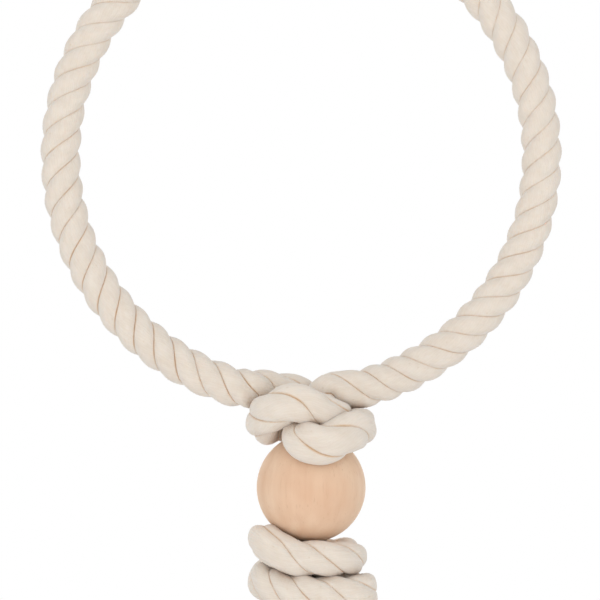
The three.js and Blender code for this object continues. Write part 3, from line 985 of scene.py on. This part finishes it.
@dataclass
class SnapHook:
    """The snap hook: a bent wire with a flat eye and nose, and the gate that closes it."""

    wire: float = 2.5 * MM
    bow_height: float = -7.5 * MM
    bow_radius: float = 10.0 * MM
    foot_height: float = -36.0 * MM
    foot_radius: float = 6.5 * MM
    rivet_rise: float = 6.5 * MM
    shoulder: float = 3.0 * MM
    nose_drop: float = 3.0 * MM
    tongue: float = 2.0 * MM
    eye_radius: float = 2.2 * MM
    nose_width: float = 3.5 * MM
    nose_reach: float = 3.2 * MM
    nose_root: float = 0.4 * MM
    gate_radius: float = 2.4 * MM
    gate_gap: float = 0.3 * MM
    slot_half: float = 1.3 * MM
    slot_depth: float = 3.2 * MM
    # Angles down the round foot of the gate's arms
    foot_angles: tuple[float, ...] = (0.45, 0.85, 1.2, 1.45)
    # The rivet's head: shares of its radius, and how far each lies below the head's top
    head_radius: float = 1.7 * MM
    head_profile: Keys = (
        (0.0, 0.0),
        (0.35, 0.04 * MM),
        (0.68, 0.16 * MM),
        (0.9, 0.4 * MM),
        (1.0, 0.8 * MM),
        (1.0, 1.6 * MM),
        (0.647, 1.6 * MM),
    )
    # Roundings, the angles between faces that get them, and the size of the slivers that they leave
    wire_rounding: float = 0.45 * MM
    plate_rounding: float = 0.25 * MM
    gate_rounding: float = 0.18 * MM
    plate_corner: float = 1.0
    gate_corner: float = 0.9
    sliver: float = 0.035 * MM
    sharp_angle: float = math.radians(40.0)
    sides: int = 28
    eye_sides: int = 32
    gate_sides: int = 44
    head_sides: int = 32
    bend_steps: int = 40

    def __post_init__(self) -> None:
        """Works out the slope of the sides and the rivet's frame, whose Z runs up the open side."""
        rise = self.bow_height - self.foot_height
        self.lean = math.asin((self.bow_radius - self.foot_radius) / rise)
        across, down = math.cos(self.lean), math.sin(self.lean)

        def side(radius: float, height: float) -> Vector:
            """Where the open side meets a bend."""
            return Vector((radius * across, 0.0, height - radius * down))

        self.side_foot = side(self.foot_radius, self.foot_height)
        self.side_bow = side(self.bow_radius, self.bow_height)
        self.up = Vector((down, 0.0, across))
        self.rivet = self.side_foot + self.rivet_rise * self.up
        self.frame = Matrix.Translation(self.rivet) @ Matrix.Rotation(self.lean, 4, "Y")
        self.gate_top = (self.side_bow - self.rivet).length - self.nose_drop

    def sweep(self, bm: BMesh) -> None:
        """Draws the wire's round section along the hook: side, foot, back, bow and nose.

        Args:
            bm: the mesh to add to.
        """
        start = self.frame @ Matrix.Translation((0.0, 0.0, -self.shoulder))
        bmesh.ops.create_circle(bm, segments=self.sides, radius=self.wire, matrix=start)
        loop = bm.verts[:] + bm.edges[:]

        def straight(move: Vector) -> None:
            """Carries the section along a straight side.

            Args:
                move: from the side's start to its end.
            """
            nonlocal loop
            edges = [item for item in loop if isinstance(item, BMEdge)]
            made = bmesh.ops.extrude_edge_only(bm, edges=edges)["geom"]
            ends = [item for item in made if isinstance(item, BMVert)]
            loop = ends + [edge for edge in bm.edges if all(end in ends for end in edge.verts)]
            bmesh.ops.translate(bm, verts=ends, vec=move)

        def bend(height: float, angle: float) -> None:
            """Carries the section round a bend.

            Args:
                height: height of the bend's middle.
                angle: how far it turns, in radians.
            """
            nonlocal loop
            turned = bmesh.ops.spin(
                bm,
                geom=loop,
                cent=(0.0, 0.0, height),
                axis=(0.0, 1.0, 0.0),
                angle=angle,
                steps=self.bend_steps,
            )
            loop = turned["geom_last"]

        mirror = Vector((-1.0, 1.0, 1.0))
        straight(self.side_foot - self.rivet + self.shoulder * self.up)
        bend(self.foot_height, math.pi - 2 * self.lean)
        straight((self.side_bow - self.side_foot) * mirror)
        bend(self.bow_height, math.pi + 2 * self.lean)
        straight(-self.nose_drop * self.up)
        rims = [edge for edge in bm.edges if edge.is_boundary]
        bmesh.ops.holes_fill(bm, edges=rims, sides=0)
        round_edges(bm, rims, self.wire_rounding, segments=3)

    def tongues(self, bm: BMesh) -> None:
        """Adds the flat eye that the gate turns on and the flat nose that it closes over.

        Args:
            bm: the mesh to add to.
        """
        flat = Matrix.Rotation(math.pi / 2, 4, "X")
        flat = flat @ Matrix.Translation((0.0, 0.0, -self.tongue / 2))
        eye = bmesh.ops.create_circle(
            bm, cap_ends=True, segments=self.eye_sides, radius=self.eye_radius, matrix=flat
        )["verts"]
        low = [vertex for vertex in eye if vertex.co.z < -LEVEL]
        bmesh.ops.translate(bm, verts=low, vec=(0.0, 0.0, -self.shoulder))
        top = raise_face(bm, eye[0].link_faces[0], (0.0, -self.tongue, 0.0))
        middle = self.gate_top + self.nose_root - self.nose_reach / 2
        size = (self.nose_width, self.tongue, self.nose_reach, 1.0)
        shape = Matrix.Translation((0.0, 0.0, middle)) @ Matrix.Diagonal(size)
        nose = bmesh.ops.create_cube(bm, size=1.0, matrix=shape)["verts"]
        plates = [*eye, *top, *nose]
        edges = {edge for vertex in plates for edge in vertex.link_edges}
        sharp = [edge for edge in edges if edge.calc_face_angle(0.0) > self.plate_corner]
        made = round_edges(bm, sharp, self.plate_rounding, segments=2)
        plates = {vertex for vertex in [*plates, *made] if vertex.is_valid}
        bmesh.ops.transform(bm, matrix=self.frame, verts=list(plates))

    def gate(self, steel: Material) -> Object:
        """Makes the gate: a rod with a forked, rounded foot and a slotted head.

        Args:
            steel: its material.

        Returns:
            The gate.
        """
        length = self.gate_top - self.gate_gap
        bm = bmesh.new()
        foot = bmesh.ops.create_circle(
            bm,
            cap_ends=True,
            segments=self.gate_sides,
            radius=self.gate_radius,
            matrix=Matrix.Translation((0.0, 0.0, self.slot_depth)),
        )["verts"]
        raise_face(bm, foot[0].link_faces[0], (0.0, 0.0, length - 2 * self.slot_depth))
        self.slot_end(bm, self.slot_depth, -self.slot_depth)
        self.slot_end(bm, length - self.slot_depth, self.slot_depth)
        bmesh.ops.recalc_face_normals(bm, faces=bm.faces)
        sharp = [edge for edge in bm.edges if edge.calc_face_angle(0.0) > self.gate_corner]
        round_edges(bm, sharp, self.gate_rounding, segments=2)
        bmesh.ops.remove_doubles(bm, verts=bm.verts, dist=self.sliver)
        bmesh.ops.transform(bm, matrix=self.frame, verts=bm.verts)
        return self.finish("smooth_gate", bm, steel, "gate", "hook_gate")

    def slot_end(self, bm: BMesh, height: float, move: float) -> None:
        """Draws two arms from an end of the gate, with a slot between them, and rounds a foot's.

        Args:
            bm: the gate's mesh.
            height: height of the end face.
            move: how far to draw the arms, down for the foot.
        """

        def cap() -> list[BMFace]:
            """The faces that lie at the end."""
            near = MERGE_DISTANCE
            return [f for f in bm.faces if all(abs(v.co.z - height) < near for v in f.verts)]

        for y in (-self.slot_half, self.slot_half):
            faces = cap()
            rim = {part for face in faces for part in (*face.edges, *face.verts)}
            bmesh.ops.bisect_plane(
                bm,
                geom=[*faces, *rim],
                dist=CUT_REACH,
                plane_co=(0.0, y, 0.0),
                plane_no=(0.0, 1.0, 0.0),
            )
        arms = [face for face in cap() if abs(face.calc_center_median().y) > self.slot_half]
        arms = self.lengthen(bm, arms, move, 1.0)
        if move > 0:
            return
        turned = 0.0
        for angle in self.foot_angles:
            drop = self.gate_radius * (math.sin(turned) - math.sin(angle))
            arms = self.lengthen(bm, arms, drop, math.cos(angle) / math.cos(turned))
            turned = angle

    @staticmethod
    def lengthen(bm: BMesh, arms: list[BMFace], move: float, narrow: float) -> list[BMFace]:
        """Draws the fork's arms out.

        Args:
            bm: the gate's mesh.
            arms: the arms' end faces.
            move: how far to draw them along the gate.
            narrow: the share of its width that each keeps.

        Returns:
            The new end faces.
        """
        ends = bmesh.ops.extrude_discrete_faces(bm, faces=arms)["faces"]
        corners = list({vertex for face in ends for vertex in face.verts})
        bmesh.ops.translate(bm, verts=corners, vec=(0.0, 0.0, move))
        bmesh.ops.scale(bm, verts=corners, vec=(narrow, 1.0, 1.0))
        return ends

    def pin(self, steel: Material) -> Object:
        """Spins the rivet, with a domed head at each end.

        Args:
            steel: its material.

        Returns:
            The rivet.
        """
        low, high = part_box("gate_rivet")
        half = (high.y - low.y) / 2
        head = [(share * self.head_radius, half - drop) for share, drop in self.head_profile]
        profile = [*head, *((r, -y) for r, y in reversed(head))]
        bm = bmesh.new()
        line = draw_profile(bm, [(r, y, 0.0) for r, y in profile], closed=False)
        spin_round(bm, line, (0.0, 0.0, 0.0), (0.0, 1.0, 0.0), self.head_sides)
        bmesh.ops.transform(bm, matrix=self.frame, verts=bm.verts)
        return self.finish("domed_rivet", bm, steel, "clip", "gate_rivet")

    def finish(self, name: str, bm: BMesh, steel: Material, body: str, node: str) -> Object:
        """Dresses a piece of the hook and sets it on its body.

        Args:
            name: the piece's name.
            bm: its mesh.
            steel: its material.
            body: the body that it rides on.
            node: the solid that it stands for.

        Returns:
            The piece.
        """
        piece = add_piece(name, bm, steel)
        piece.data.set_sharp_from_angle(angle=self.sharp_angle)
        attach(piece, body)
        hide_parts(node)
        return piece

    def build(self, steel: Material) -> None:
        """Makes the hook, its gate and its rivet.

        Args:
            steel: their material.
        """
        bm = bmesh.new()
        self.tongues(bm)
        wire = bmesh.new()
        self.sweep(wire)
        drawn = bpy.data.meshes.new("hook_wire")
        wire.to_mesh(drawn)
        wire.free()
        bm.from_mesh(drawn)
        bpy.data.meshes.remove(drawn)
        bmesh.ops.recalc_face_normals(bm, faces=bm.faces)
        self.finish("snap_hook", bm, steel, "clip", "hook_body")
        self.gate(steel)
        self.pin(steel)


@dataclass
class SwingRope:
    """The rope from the upper ball, up through the knot, round the ring and into the noose knot."""

    half: float = 0.525 * ROPE_DIAMETER
    # How far above its solid's end the standing rope stops, so that the ball can tilt under it
    clear_of_ball: float = 0.8 * MM
    # How far the ring's middle line strays outwards from a circle, evenly and towards an angle in
    # degrees
    swell: Triple = (0.2 * MM, 0.35 * MM, 25.0)
    # Height over the knot's middle where the ring begins, and how a wrap's height tilts its face
    knot_top: float = 1.4 * ROPE_DIAMETER
    face_tilt: float = 0.25
    # Places on the ring, in degrees from +X toward +Z, where a groove faces outwards, and the turns
    # there
    ring_keys: Keys = (
        (254.4, -0.55),
        (243.24, 0.0),
        (151.24, 5.0),
        (34.0, 34 / 3),
        (-60.97, 50 / 3),
        (-72.84, 17.41),
    )
    # Degrees from the ring's top, to the left, and how strongly the grooves show there: the slits'
    # depth and their painted shade, laid on more where less light falls into them
    groove_keys: Keys = (
        (-180.0, 1.2),
        (-140.0, 0.75),
        (-90.0, 0.45),
        (0.0, 0.45),
        (70.0, 0.5),
        (110.0, 1.0),
        (140.0, 1.4),
        (180.0, 1.2),
    )
    # Numbers of the points from the ring into each end of the knot, and the turns there
    standing_keys: Keys = ((0, 0.0), (2, -0.38), (3, -0.67), (8, -1.1))
    noose_keys: Keys = (
        (0, 0.0),
        (2, 0.30),
        (7, 1.02),
        (9, 1.19),
        (12, 1.49),
        (20, 3.12),
        (21, 3.33),
        (21.4, 3.42),
        (22.3, 3.52),
        (22.7, 3.57),
        (22.9, 3.60),
        (23.45, 3.69),
        (23.7, 3.78),
        (24.2, 3.80),
        (26, 3.85),
    )

    def ring_angle(self, offset: float) -> float:
        """Angle on the ring of the rope end at an offset from the drop line, in radians."""
        across = NOOSE_CENTRE.x - RING_CENTRE.x + offset * ROPE_DIAMETER
        return -math.acos(across / RING_RADIUS)

    def on_ring(self, angle: float) -> list[float]:
        """Finds a place on the ring's middle line.

        Args:
            angle: the angle on the ring in radians.

        Returns:
            The place, with the rope's half sizes.
        """
        even, uneven, towards = self.swell
        radius = RING_RADIUS + even + uneven * math.cos(angle - math.radians(towards))
        place = RING_CENTRE + radius * Vector((math.cos(angle), 0.0, math.sin(angle)))
        return [*place, self.half, self.half]

    def ring_turns(self, angle: float) -> float:
        """Turns of the strands at an angle on the ring, carried on evenly past the end keys.

        Args:
            angle: the angle in radians.

        Returns:
            The turns.
        """
        keys = [(math.radians(place), turns) for place, turns in self.ring_keys]
        pairs = list(zip(keys, keys[1:]))
        (near, start), (far, end) = next((pair for pair in pairs if angle >= pair[1][0]), pairs[-1])
        return start + (end - start) * (angle - near) / (far - near)

    def line(self) -> RopeLine:
        """Joins the rope's three stretches into one line.

        Returns:
            The line, with its frame set by the ring's own plane.
        """
        left = FULL_TURN + self.ring_angle(LEFT_END_OFFSET)
        right = self.ring_angle(RIGHT_END_OFFSET)
        lead = LEAD / RING_RADIUS
        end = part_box("standing_rope")[0].z + self.clear_of_ball
        standing = [self.on_ring(left), self.on_ring(left + lead)]
        standing += scaled(STANDING_ROUTE, NOOSE_CENTRE, 0.0)
        standing.append([NOOSE_CENTRE.x, 0.0, end, THIN_HALF, THIN_HALF])
        noose = [self.on_ring(right), self.on_ring(right - lead)]
        noose += scaled(NOOSE_ROUTE, NOOSE_CENTRE, 0.0)
        count = int((left - right) * RING_RADIUS / STATION_SPACING)
        ring = [[*self.on_ring(a), self.ring_turns(a)] for a in np.linspace(left, right, count)]
        first = lay_rope(standing, self.standing_keys, self.ring_turns(left))[::-1]
        last = lay_rope(noose, self.noose_keys, self.ring_turns(right))
        rows = np.vstack([first[:-1], ring, last[1:]])
        middle = len(first) + count // 2
        outward = rows[middle, :3] - np.array(RING_CENTRE)
        return RopeLine(rows, self.face, self.groove_share, middle, outward)

    def face(self, row: np.ndarray) -> np.ndarray:
        """Direction in which the rope is pressed flat: from the knot's middle, or the ring's plane.

        Args:
            row: a row of the rope's line.

        Returns:
            The direction.
        """
        away = row[:3] - np.array(NOOSE_CENTRE)
        if away[2] > self.knot_top:
            return np.array([0.0, -1.0, 0.0])
        return np.array([away[0], away[1] - FRONT_BIAS, self.face_tilt * away[2]])

    def groove_share(self, row: np.ndarray) -> float:
        """Finds the slits' depth and the painted shade in the grooves at a place on the rope.

        Args:
            row: a row of the rope's line.

        Returns:
            The share of their full strength.
        """
        away = row[:3] - np.array(RING_CENTRE)
        angle = math.degrees(math.atan2(-away[0], away[2]))
        return float(np.interp(angle, *zip(*self.groove_keys)))

    def build(self, cotton: Material, press: Sequence[Seat]) -> Object:
        """Makes the rope.

        Args:
            cotton: its material.
            press: the balls that it rests on.

        Returns:
            The rope.
        """
        piece = self.line().build("swing_rope", cotton, press)
        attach(piece, "swing")
        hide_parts("ring_rope", "noose_knot", "standing_rope")
        return piece


@dataclass
class PendantRope:
    """The rope below the upper ball: its stopper knots and its cut end."""

    upper: WoodenBall
    lower: WoodenBall
    # Length of straight rope in which the strands turn once
    straight_lay: float = 36.0 * MM
    # Numbers of the points of a stopper knot, and the turns there
    stopper_keys: Keys = (
        (0, 0.0),
        (9, 1.63),
        (11, 2.03),
        (13, 2.62),
        (20, 4.03),
        (22, 4.46),
        (23, 4.62),
        (24, 4.65),
        (26, 4.64),
        (32, 5.9),
    )

    def straight(self, top: float, bottom: float, half: float) -> list[list[float]]:
        """Points down the drop line.

        Args:
            top: height of the first.
            bottom: height of the last.
            half: the rope's half size there.

        Returns:
            Points about a rope diameter apart.
        """
        count = max(1, round((top - bottom) / ROPE_DIAMETER))
        heights = [top + (bottom - top) * i / count for i in range(count + 1)]
        return [[self.upper.centre.x, 0.0, z, half, half] for z in heights]

    def line(self) -> RopeLine:
        """Runs the rope from the upper ball through both stopper knots to its end.

        Returns:
            The line.
        """
        knots = []
        for ball, turn in ((self.upper, 0.0), (self.lower, END_KNOT_TURN)):
            middle = ball.centre - Vector((0.0, 0.0, STOPPER_BELOW_BALL))
            knots.append(scaled(STOPPER_ROUTE, middle, turn))
        heights = [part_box("middle_knot")[1].z]
        for knot in knots:
            heights += [knot[0][2] + LEAD, knot[-1][2] - LEAD]
        heights.append(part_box("end_knot")[0].z)
        points: list[list[float]] = []
        keys: list[Pair] = []
        turns = 0.0
        for k, half in enumerate((THIN_HALF, THIN_HALF, ROPE_DIAMETER / 2)):
            top, bottom = heights[2 * k : 2 * k + 2]
            keys.append((len(points), turns))
            points += self.straight(top, bottom, half)
            turns += (top - bottom) / self.straight_lay
            keys.append((len(points) - 1, turns))
            turns += LEAD / self.straight_lay
            if k < len(knots):
                keys += [(len(points) + number, turns + made) for number, made in self.stopper_keys]
                points += knots[k]
                turns += self.stopper_keys[-1][1] + LEAD / self.straight_lay
        rows = lay_rope(points, keys, 0.0)
        return RopeLine(rows, self.face, lambda row: 1.0, 0, np.array([0.0, -1.0, 0.0]))

    def face(self, row: np.ndarray) -> np.ndarray:
        """Direction in which the rope is pressed flat: away from the drop line."""
        return np.array([row[0] - self.upper.centre.x, row[1] - FRONT_BIAS, 0.0])

    def build(self, cotton: Material) -> Object:
        """Makes the rope.

        Args:
            cotton: its material.

        Returns:
            The rope.
        """
        piece = self.line().build("pendant_rope", cotton, [self.upper.seat(), self.lower.seat()])
        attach(piece, "pendant")
        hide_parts("middle_knot", "end_knot")
        return piece


@dataclass
class Studio:
    """Camera, soft light, pale floor and white surround."""

    metres_per_pixel: float = RING_RADIUS / 240.0
    ring_centre_pixel: Pair = (300.3, 156.0)
    picture: int = 600
    distance: float = 1.5
    sensor: float = 36.0
    far_clip: float = 20.0
    soft_light: float = 0.74
    lamp_size: float = 1.3
    lamp_aim: Triple = (0.0, 0.0, -0.22)
    # Name, place and power in watts of each lamp
    lamps: tuple[tuple[str, Triple, float], ...] = (
        ("left", (-0.7, -1.8, -0.05), 7.8),
        ("right", (0.6, -1.8, -0.5), 7.4),
        ("back left", (-0.7, 1.8, -0.05), 7.5),
        ("back right", (0.6, 1.8, -0.4), 7.5),
    )
    floor_sides: int = 64
    floor_radius: float = 0.62
    floor_height: float = -0.47
    floor_glow: float = 0.3

    def camera(self) -> None:
        """Sets the camera square to the ring, at the photograph's framing."""
        half = self.picture / 2
        x = RING_CENTRE.x + (half - self.ring_centre_pixel[0]) * self.metres_per_pixel
        z = RING_CENTRE.z - (half - self.ring_centre_pixel[1]) * self.metres_per_pixel
        data = bpy.data.cameras.new("camera")
        data.sensor_width = self.sensor
        data.lens = self.sensor * self.distance / (self.picture * self.metres_per_pixel)
        data.clip_end = self.far_clip
        camera = bpy.data.objects.new("camera", data)
        camera.location = (x, -self.distance, z)
        camera.rotation_euler = (math.radians(90.0), 0.0, 0.0)
        bpy.context.scene.collection.objects.link(camera)
        bpy.context.scene.camera = camera

    def light(self) -> None:
        """Hangs square soft lamps aimed at the swing's middle."""
        for name, place, energy in self.lamps:
            data = bpy.data.lights.new(name, "AREA")
            data.size = self.lamp_size
            data.energy = energy
            lamp = bpy.data.objects.new(name, data)
            lamp.visible_camera = False
            lamp.location = place
            aim = Vector(self.lamp_aim) - Vector(place)
            lamp.rotation_euler = aim.to_track_quat("-Z", "Y").to_euler()
            bpy.context.scene.collection.objects.link(lamp)

    def surround(self) -> None:
        """Lights the scene from all round and shows white behind it."""
        world = bpy.data.worlds.new("surround")
        bench = NodeBench(world)
        bench.tree.nodes.clear()
        soft = bench.add("Background", {"Color": WHITE, "Strength": self.soft_light})
        white = bench.add("Background", {"Color": WHITE, "Strength": 1.0})
        path = bench.add("LightPath", {}).outputs
        seen = bench.math("MAXIMUM", path["Is Camera Ray"], path["Is Glossy Ray"])
        seen = bench.math("MAXIMUM", seen, path["Is Transmission Ray"])
        mix = bench.add("MixShader", {"Fac": seen, 1: soft.outputs[0], 2: white.outputs[0]})
        bench.add("OutputWorld", {"Surface": mix.outputs["Shader"]})
        bpy.context.scene.world = world

    def floor(self) -> None:
        """Lays a pale floor under the swing, below the camera's view, clear from beneath."""
        bm = bmesh.new()
        bmesh.ops.create_circle(
            bm, cap_ends=True, segments=self.floor_sides, radius=self.floor_radius
        )
        bmesh.ops.translate(bm, verts=bm.verts, vec=(0.0, 0.0, self.floor_height))
        material = bpy.data.materials.new("floor")
        bench = NodeBench(material)
        camera_ray = bench.add("LightPath", {}).outputs["Is Camera Ray"]
        bench.dress(
            {
                "Base Color": (0.9, 0.9, 0.9, 1.0),
                "Roughness": 0.9,
                "Emission Color": WHITE,
                "Emission Strength": bench.math("MULTIPLY", camera_ray, self.floor_glow),
            }
        )
        pale = bench.tree.nodes["Principled BSDF"].outputs["BSDF"]
        clear = bench.add("BsdfTransparent", {}).outputs["BSDF"]
        beneath = bench.add("NewGeometry", {}).outputs["Backfacing"]
        mix = bench.add("MixShader", {"Fac": beneath, 1: pale, 2: clear})
        output = bench.tree.nodes["Material Output"]
        bench.feed(output, {"Surface": mix.outputs["Shader"]})
        add_piece("floor", bm, material)

    def build(self) -> None:
        """Sets the whole studio."""
        self.camera()
        self.surround()
        self.floor()
        self.light()
        bpy.context.scene.view_settings.view_transform = "Standard"


def main() -> None:
    """Builds the swing's pieces in order."""
    logging.basicConfig(level=logging.INFO, format="%(message)s")
    Studio().build()
    cotton = CottonFinish().material("cotton_rope")
    upper = WoodenBall("upper_ball", "upper_bead", Grain.UPRIGHT)
    lower = WoodenBall("lower_ball", "lower_bead", Grain.TURNED)
    ropes = [SwingRope().build(cotton, [upper.seat()]), PendantRope(upper, lower).build(cotton)]
    balls = [ball.build(WoodFinish()) for ball in (upper, lower)]
    # Paints shade where rope is shut in by other rope or a ball
    CreaseShadeMarker().mark(ropes, ropes + balls)
    plated = SteelFinish().material("plated_steel")
    SteelRing().build(plated)
    SnapHook().build(plated)
    dull = SteelFinish(srgb(178, 180, 183), srgb(150, 152, 156), (0.3, 0.48))
    plain = dull.material("plain_steel")
    for node in ("gate_spring", "ring_wire"):
        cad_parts[node].data.materials.clear()
        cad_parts[node].data.materials.append(plain)
        log.info("%s: dressed as it is", node)


if __name__ == "__main__":
    main()
